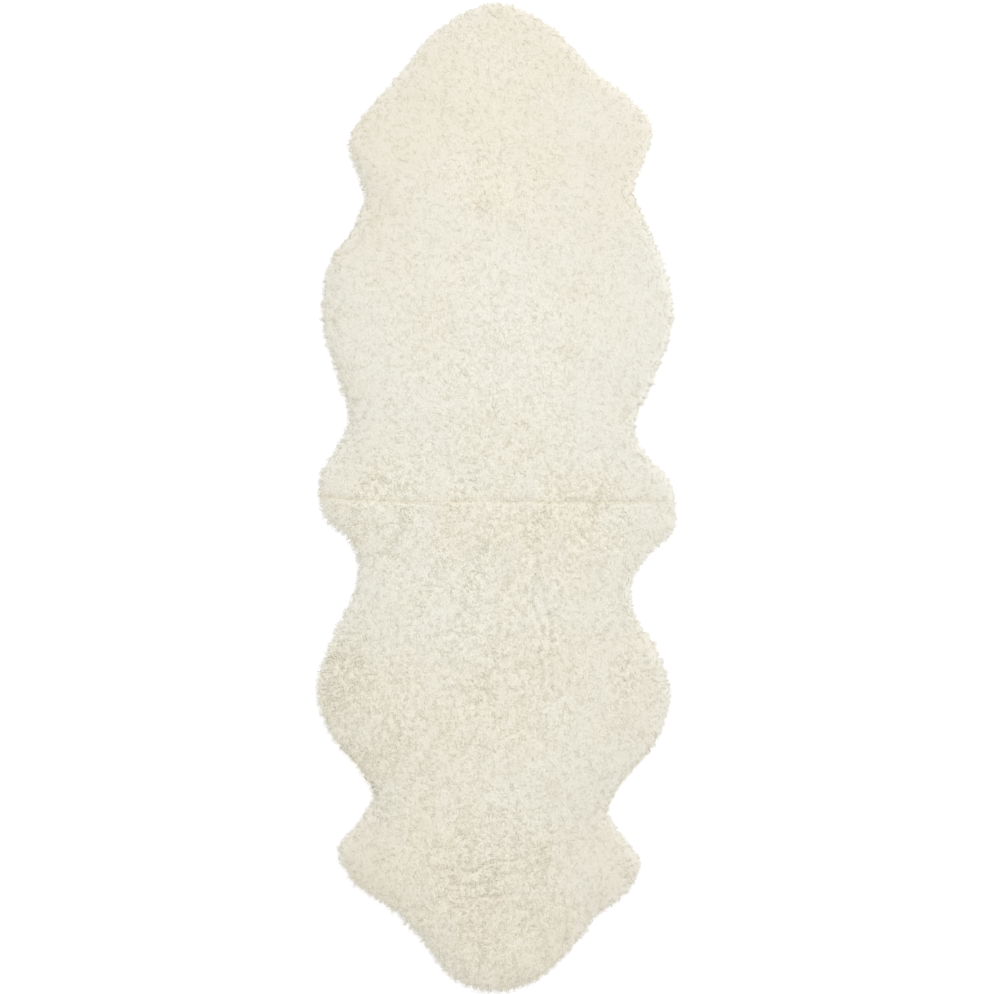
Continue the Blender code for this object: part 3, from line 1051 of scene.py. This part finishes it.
# %% Which way the curls lean
SEAM_PULL_REACH = 7 * MM
LEANS = {"rim": 0.8, "curd": 5.0, "seam": 1.2, "drift": 0.4, "tail": 0.2, "chance": 0.6}
AHEAD = 5 * MM


def headings(points, side, along, rim_pull, outward, push, chance):
    """The direction of a sum of ways: out, to the curd, off the seam, adrift, to the tail."""
    seam_pull = np.exp(-((along / SEAM_PULL_REACH) ** 2))
    seam_pull *= 0.3 + wander(points * (1, 0), 45 * MM, 67)
    drift = np.stack([wander(points, 160 * MM, 5), wander(points, 160 * MM, 6)], axis=1)
    tail = np.array([0.0, -side])
    lean = (
        LEANS["rim"] * rim_pull[:, None] * outward
        + LEANS["curd"] * push
        - LEANS["seam"] * seam_pull[:, None] * tail
        + LEANS["drift"] * drift
        + LEANS["tail"] * tail
        + LEANS["chance"] * chance.normal(size=points.shape)
    )
    return np.arctan2(lean[:, 1], lean[:, 0])


def falls_ahead(points, side, along, from_tips, outward, heading, height):
    """The angle by which the wool falls away over a short step in each curl's direction."""
    way = np.stack([np.cos(heading), np.sin(heading)], axis=1)
    ahead = pile_height(
        points + AHEAD * way,
        along + side * AHEAD * way[:, 1],
        from_tips - AHEAD * (way * outward).sum(axis=1),
    )
    ahead -= crevices(points + AHEAD * way)[0]
    return np.clip(np.arctan2(height - ahead, AHEAD), -0.6, 1.2)


# %% The settings of the curls
LOCK_LENGTH = 17 * MM
LOCK_WIDTH = 2.3 * MM
STANDING = 15
# In smooth wool, what stirred wool adds, what the rim adds
ROOT_BELOW = (3.3 * MM, -2.6 * MM, -2.0 * MM)
WIDTHS = (0.35, 0.9, 0.4)
JITTERS = (0.1 * MM, 0.3 * MM, 0.3 * MM)


def weigh(shares, stirred, rim_pull):
    """The value for smooth wool, plus what stirred wool adds and what the rim adds."""
    return shares[0] + shares[1] * stirred + shares[2] * rim_pull


def back_locks(skin, side, seed):
    """The settings of all curls inside a skin's wall, each drawn at random round its mean."""
    chance = np.random.default_rng(seed)
    points, along, from_tips, rim_pull, outward = curl_places(skin, side, seed, chance)
    count = len(points)
    depth, push, stirred = crevices(points)
    height = pile_height(points, along, from_tips) - depth
    heading = headings(points, side, along, rim_pull, outward, push, chance)
    upright = 60 - STANDING * stirred + chance.uniform(-10, 10, count)
    slope = np.radians(np.stack([upright, chance.uniform(88, 100, count)], axis=1))
    slope += falls_ahead(points, side, along, from_tips, outward, heading, height)[:, None]
    curl = np.radians(chance.uniform(120, 270, count))
    curl *= np.where(chance.random(count) < 0.5, -1, 1) * (1 - 0.3 * rim_pull)
    length = LOCK_LENGTH * chance.uniform(0.85, 1.2, count)
    width = LOCK_WIDTH * chance.uniform(0.8, 1.2, count) * weigh(WIDTHS, stirred, rim_pull)
    taper = chance.uniform(0.3, 0.8, count)
    jitter = chance.normal(0, 1, count) * weigh(JITTERS, stirred, rim_pull)
    below = weigh(ROOT_BELOW, stirred, rim_pull**0.5)
    root_z = np.maximum(height + jitter - np.maximum(below, 0.6 * MM), 3 * MM)
    roots = np.column_stack([points, root_z])
    floor = np.where(from_tips > EDGE_REACH, HIDE_THICKNESS + GAP, GAP)
    # Each curl's own random tone, plus painted shade near the rim.
    shade = chance.random(count) + painted_rim_shade(from_tips)
    return roots, heading, slope, curl, length, width, taper, floor, shade, along


# %% [markdown]
# ## The locks round the rim
#
# At the edge of a real skin the wool hangs over the hide and hides it. A single row of locks
# would look like a comb. Here three layers fall over the mat's edge, one above the other, and
# overlap like tiles. They start from the tufts of the mat, so that the outline is as uneven as
# the photo's, and each is as long as it has to be to reach out that far.

# %% Locks round the rim of a skin
RIM_SPACING = 1.8 * MM
RIM_UNEVENNESS = 1.9 * MM
RIM_LOCK_WIDTH = 1.35 * MM
RIM_OFF_SEAM = 2.5 * MM
# Painted light: the rim locks and wisps are painted paler by a negative shade.
RIM_PALER = 2.1
WHITEST = -1.0
RIM_LAYERS = (
    # name, height mm, root inside the mat's edge mm, slope at root and tip in degrees, reach mm
    ("floor", 2.6, 2, 80, 91, 5.0),
    ("middle", 9, 2.5, 84, 125, 4.2),
    ("shoulder", 18, 4.5, 76, 145, 3.0),
)


def edge_of(skin, side, spacing):
    """Even places along the mat's tufted edge, with the ways along it and outwards."""
    left, neck, right = skin_rim(skin, MAT_INSET, 400, 400)
    chain = np.concatenate([left, neck[1:-1], right])
    edge = evenly(chain, int(run_along(chain)[-1] / spacing))
    edge[:, 1] = np.maximum(edge[:, 1], RIM_OFF_SEAM)
    edge = placed(edge, side)
    tangent = np.gradient(edge, axis=0)
    tangent /= np.linalg.norm(tangent, axis=1, keepdims=True)
    outward = side * np.stack([-tangent[:, 1], tangent[:, 0]], axis=1)
    return tufted(edge, side, 0), tangent, outward


def long_enough(outward, wanted, *bends):
    """How long each lock has to be to reach out as far as it should.

    That is the reach wanted, over the reach of a lock one metre long with the same bends.
    """
    count = len(wanted)
    _, line = path_of(np.zeros((count, 3)), *bends, np.ones(count))
    return wanted / (line[:, :, :2] * outward[:, None]).sum(axis=2).max(axis=1)


def rim_locks(skin, side, seed):
    """Layers of locks that fall over the mat's edge, most of them curling the same way nearby."""
    chance = np.random.default_rng(seed)
    edge, tangent, outward = edge_of(skin, side, RIM_SPACING)
    count = len(edge)
    settings = []
    for _, height, back, first, last, reach in RIM_LAYERS:
        shift = chance.uniform(-0.5, 0.5, count) * RIM_SPACING
        roots = edge - back * MM * outward + shift[:, None] * tangent
        roots = np.column_stack([roots, height * MM * chance.uniform(0.85, 1.2, count)])
        hand = np.where(wander(edge, 90 * MM, seed) + chance.normal(0, 0.5, count) > 0, 1, -1)
        heading = np.arctan2(outward[:, 1], outward[:, 0])
        heading -= hand * np.radians(chance.uniform(5, 35, count))
        curl = hand * np.radians(chance.uniform(60, 120, count))
        slope = np.radians(np.array([first, last]) + chance.uniform(-6, 6, (count, 2)))
        width = RIM_LOCK_WIDTH * chance.uniform(0.8, 1.25, count)
        wanted = (back + reach) * MM - width / 3 + chance.normal(0, RIM_UNEVENNESS, count)
        length = np.clip(long_enough(outward, wanted, heading, slope, curl), 6 * MM, 24 * MM)
        taper = chance.uniform(0.3, 0.8, count)
        level = np.full(count, GAP)
        # The rim locks are painted paler, in place of the light that passes through them.
        shade, along = 2 * chance.random(count) - RIM_PALER, from_seam(edge, side)
        settings.append((roots, heading, slope, curl, length, width, taper, level, shade, along))
    return [np.concatenate(each) for each in zip(*settings)]


# %% [markdown]
# ## The wisps
#
# Single curls of a few fibres stand out of the locks and blur the outline. They are locks too,
# much thinner, with a stronger curl and a wider spread of slopes.

# %% Loose wisps round the rim
WISP_SPACING = 2.6 * MM
WISP_WIDTH = 0.8 * MM
WISP_REACH = 9 * MM


def wisps(skin, side, seed):
    """Single curls of a few fibres, which stand a little out of the rim and soften it."""
    chance = np.random.default_rng(seed)
    edge, _, outward = edge_of(skin, side, WISP_SPACING)
    count = len(edge)
    back = chance.uniform(2, 9, count) * MM
    roots = np.column_stack([edge - back[:, None] * outward, chance.uniform(3, 11, count) * MM])
    hand = chance.choice([-1, 1], count)
    heading = np.arctan2(outward[:, 1], outward[:, 0]) - hand * np.radians(40)
    curl = hand * np.radians(chance.uniform(90, 230, count))
    slope = np.radians(chance.uniform((45, 84), (80, 104), (count, 2)))
    wanted = back + WISP_REACH * chance.uniform(0.55, 1.0, count)
    length = np.clip(long_enough(outward, wanted, heading, slope, curl), 8 * MM, 34 * MM)
    width = WISP_WIDTH * chance.uniform(0.7, 1.4, count)
    full = np.ones(count)
    # The wisps are painted paler still, in place of the light that passes through them.
    return roots, heading, slope, curl, length, width, 0.5 * full, GAP * full, WHITEST * full, full


# %% [markdown]
# ## The fleece of each skin
#
# The curls of a skin are sorted by how far from the seam they stand, and cut into three pieces
# so that each stays light. All the wool of a skin stands for its packed fleece and rides on the
# rug's one body.

# %% Make the fleece
PARTS_OF_SKIN = ("rump", "back", "neck")
for number, (which, (skin, side)) in enumerate(SKINS.items()):
    mat = underwool("underwool_" + which, skin, side, UNDERWOOL)
    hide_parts("fleece_" + which)
    pieces = [mat]

    *settings, shade, along = back_locks(skin, side, 100 + number)
    shells, tips = grow(*settings)
    order = np.array_split(np.argsort(along), len(PARTS_OF_SKIN))
    for part, chosen in zip(PARTS_OF_SKIN, order):
        name = f"locks_{which}_{part}"
        pieces.append(
            lock_piece(name, shells[chosen], tips[chosen], shade[chosen], 1.0, LOCK_WOOL)
        )
    for kind, made in (("rim_locks", rim_locks), ("wisps", wisps)):
        *settings, shade, _ = made(skin, side, 200 + number)
        pieces.append(lock_piece(f"{kind}_{which}", *grow(*settings), shade, 0.3, RIM_WOOL_PAINTED_LIGHTER))
    for piece in pieces:
        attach(piece, "root")
        piece.data.calc_loop_triangles()
        print(piece.name, len(piece.data.loop_triangles), "triangles")

# %% [markdown]
# ## The hides
#
# The underside of the rug is the flesh side of the leather, brushed to suede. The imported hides
# already have their cut outline and the pared strip under the seam, so they stay and only get a
# finish. It could be painted, but noise on the object's own place does it without a seam: a short
# nap, cloudy colour, and fine veins where a slow noise crosses its middle value.

# %% Suede
def suede_material():
    """Suede: cloudy buff with a fine nap and a few darker veins."""
    made = bpy.data.materials.new("brushed suede")
    made.use_nodes = True
    n = Nodes(made.node_tree)
    shader = made.node_tree.nodes["Principled BSDF"]
    place = n.add("ShaderNodeTexCoord").outputs["Object"]
    clouds = n.range(n.noise(place, 14, 4.0, 0.6), 0.3, 0.7)
    tone = n.mix(clouds, (0.60, 0.47, 0.33, 1), (0.72, 0.60, 0.45, 1))
    nap = n.noise(place, 900, 3.0, 0.7)
    tone = n.mix(n.range(nap, 0.35, 0.7, 0.0, 0.35), tone, (0.50, 0.38, 0.26, 1))
    veins = n.math("ABSOLUTE", n.math("SUBTRACT", n.noise(place, 22, 5.0, 0.55), 0.5))
    tone = n.mix(n.range(veins, 0.0, 0.012, 0.35, 0.0), tone, (0.45, 0.33, 0.22, 1))
    n.plug(tone, shader.inputs["Base Color"])
    n.plug(n.bump(nap, 0.3 * MM, 0.5), shader.inputs["Normal"])
    shader.inputs["Roughness"].default_value = 0.9
    shader.inputs["Sheen Weight"].default_value = 0.3
    return made


SUEDE = suede_material()
for which in SKINS:
    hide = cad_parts["hide_" + which]
    hide.data.materials.clear()
    hide.data.materials.append(SUEDE)

# %% [markdown]
# ## The seam
#
# A furrier joins two skins edge to edge with small slanting overcast stitches on the flesh side.
# A texture would be flat, so each stitch is a short tube of thread. It lies in the pared strip,
# so that the rug still rests flat.

# %% Overcast stitches
STITCH_PITCH = 4 * MM
STITCH_REACH = 2.4 * MM
STITCH_SLANT = 0.6
STITCHES_FROM, STITCHES_TO = -296 * MM, 300 * MM
THREAD = 0.55 * MM
THREAD_TOP = 1.15 * MM
THREAD_DIPS = 0.75 * MM
THREAD_STATIONS = 9
THREAD_SIDES = 6


def stitches(name, material):
    """Each stitch is a tube along an arch: across is a straight way, and z dips by a sine."""
    x = np.arange(STITCHES_FROM, STITCHES_TO, STITCH_PITCH)
    t = np.linspace(0, 1, THREAD_STATIONS)
    centre = np.stack(
        [
            x[:, None] + (t - 0.5) * STITCH_SLANT * STITCH_PITCH,
            (SEAM_Y + seam_lift(x, 0 * x))[:, None] + (t - 0.5) * 2 * STITCH_REACH,
            (THREAD_TOP - THREAD_DIPS * np.sin(math.pi * t)) + 0 * x[:, None],
        ],
        axis=2,
    )
    way = np.gradient(centre, axis=1)
    way /= np.linalg.norm(way, axis=2, keepdims=True)
    aside = np.cross(way, (0.0, 0.0, 1.0))
    aside /= np.linalg.norm(aside, axis=2, keepdims=True)
    over = np.cross(aside, way)
    around = np.arange(THREAD_SIDES) * 2 * math.pi / THREAD_SIDES
    ring = (
        aside[:, :, None] * np.cos(around)[:, None] - over[:, :, None] * np.sin(around)[:, None]
    )
    points = centre[:, :, None] + THREAD / 2 * ring
    at = np.arange(points[..., 0].size).reshape(points.shape[:3])
    side = np.roll(at, -1, axis=2)
    quads = np.stack([at[:, :-1], side[:, :-1], side[:, 1:], at[:, 1:]], axis=3)
    faces = quads.reshape(-1, 4).tolist()
    faces += at[:, 0, ::-1].tolist() + at[:, -1].tolist()
    return mesh_piece(name, points.reshape(-1, 3), faces, material)


def thread_material():
    """Waxed thread, with a twist that shows as fine slanting lines."""
    made = bpy.data.materials.new("waxed thread")
    made.use_nodes = True
    n = Nodes(made.node_tree)
    shader = made.node_tree.nodes["Principled BSDF"]
    place = n.add("ShaderNodeTexCoord").outputs["Object"]
    twist = n.add("ShaderNodeTexWave", bands_direction="DIAGONAL")
    n.plug(place, twist.inputs["Vector"])
    twist.inputs["Scale"].default_value = 600
    tone = n.mix(twist.outputs["Fac"], (0.62, 0.52, 0.38, 1), (0.80, 0.72, 0.58, 1))
    n.plug(tone, shader.inputs["Base Color"])
    n.plug(n.bump(twist.outputs["Fac"], 0.05 * MM), shader.inputs["Normal"])
    shader.inputs["Roughness"].default_value = 0.6
    return made


seam = stitches("seam_stitches", thread_material())
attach(seam, "root")
print("the seam has", len(seam.data.vertices) // (THREAD_STATIONS * THREAD_SIDES), "stitches")

# %% [markdown]
# ## The hides are flat sheets
#
# Each hide is a sheet of leather that lies flat, and its outline is the photo's outline, less the
# 12 mm that the wool hangs over it.

# %% [markdown]
# ## The studio
#
# The rug lies on a white floor in soft light, seen from straight above with its seam level. White
# wool is mostly lit by its own neighbours, so the light may bounce more often than is usual. One
# soft lamp from the upper right gives the curls their shadows, and the bright world fills them.

# %% The floor
FLOOR_HALF = 30.0
FLOOR_LEVEL = -0.4 * MM


def plain_floor():
    """A large white floor just under the rug, which glows a little and so stays white."""
    made = bpy.data.materials.new("white floor")
    made.use_nodes = True
    shader = made.node_tree.nodes["Principled BSDF"]
    shader.inputs["Base Color"].default_value = (0.96, 0.96, 0.96, 1)
    shader.inputs["Roughness"].default_value = 0.9
    shader.inputs["Specular IOR Level"].default_value = 0.1
    shader.inputs["Emission Color"].default_value = (1, 1, 1, 1)
    shader.inputs["Emission Strength"].default_value = 0.4
    corners = np.array([(-1, -1, 0), (1, -1, 0), (1, 1, 0), (-1, 1, 0)]) * FLOOR_HALF
    corners[:, 2] = FLOOR_LEVEL
    return mesh_piece("floor", corners, [[0, 1, 2, 3]], made, smooth=False)


plain_floor()

# %% The light
scene = bpy.context.scene


def area_light(name, place, aim, size, power):
    """A square lamp at a place: tilted by the angle off the vertical, and turned to its aim."""
    lamp = bpy.data.lights.new(name, "AREA")
    lamp.shape = "SQUARE"
    lamp.size = size
    lamp.energy = power
    holder = bpy.data.objects.new(name, lamp)
    holder.location = place
    way = np.array(place) - np.array(aim)
    tilt = math.atan2(math.hypot(way[0], way[1]), way[2])
    holder.rotation_euler = (tilt, 0, math.atan2(way[0], -way[1]))
    scene.collection.objects.link(holder)


area_light("key", place=(0.9, 1.5, 3.0), aim=(0, 0, 0), size=0.9, power=44)
world = bpy.data.worlds.new("studio")
world.use_nodes = True
world.node_tree.nodes["Background"].inputs["Color"].default_value = (1, 1, 1, 1)
world.node_tree.nodes["Background"].inputs["Strength"].default_value = 0.67
scene.world = world
scene.cycles.max_bounces = 16
scene.cycles.diffuse_bounces = 12

# %% [markdown]
# ## The tone of the picture
#
# A product photo of white wool is printed bright, with its shadows lifted and its lights gently
# rolled off. A tone curve on the plain view does the same, and leaves the materials as they are.

# %% The tone curve
TONE_CURVE = ((0.2, 0.36), (0.4, 0.585), (0.6, 0.755), (0.78, 0.87), (0.9, 0.945))
ALL_CHANNELS = 3
view = scene.view_settings
view.view_transform = "Standard"
view.use_curve_mapping = True
for point in TONE_CURVE:
    view.curve_mapping.curves[ALL_CHANNELS].points.new(*point)
view.curve_mapping.update()

# %% [markdown]
# ## The camera
#
# The photo's frame is square, and the rug's origin lies at one of its pixels. A long lens straight
# above, at the distance where one pixel covers its share of the wool, gives the same view.

# %% The camera
LENS = 85
SENSOR = 36
PHOTO_SIDE = 994
MM_PER_PIXEL = 1.818
ORIGIN_PIXEL = (495.5, 497)
WOOL_LEVEL = 20 * MM
camera_data = bpy.data.cameras.new("camera")
camera_data.lens = LENS
camera_data.sensor_width = SENSOR
camera = bpy.data.objects.new("camera", camera_data)
distance = PHOTO_SIDE * MM_PER_PIXEL * MM * LENS / SENSOR
camera.location = (
    (PHOTO_SIDE / 2 - ORIGIN_PIXEL[0]) * MM_PER_PIXEL * MM,
    (ORIGIN_PIXEL[1] - PHOTO_SIDE / 2) * MM_PER_PIXEL * MM,
    distance + WOOL_LEVEL,
)
scene.collection.objects.link(camera)
scene.camera = camera
print("camera", round(distance, 3), "m above the wool")
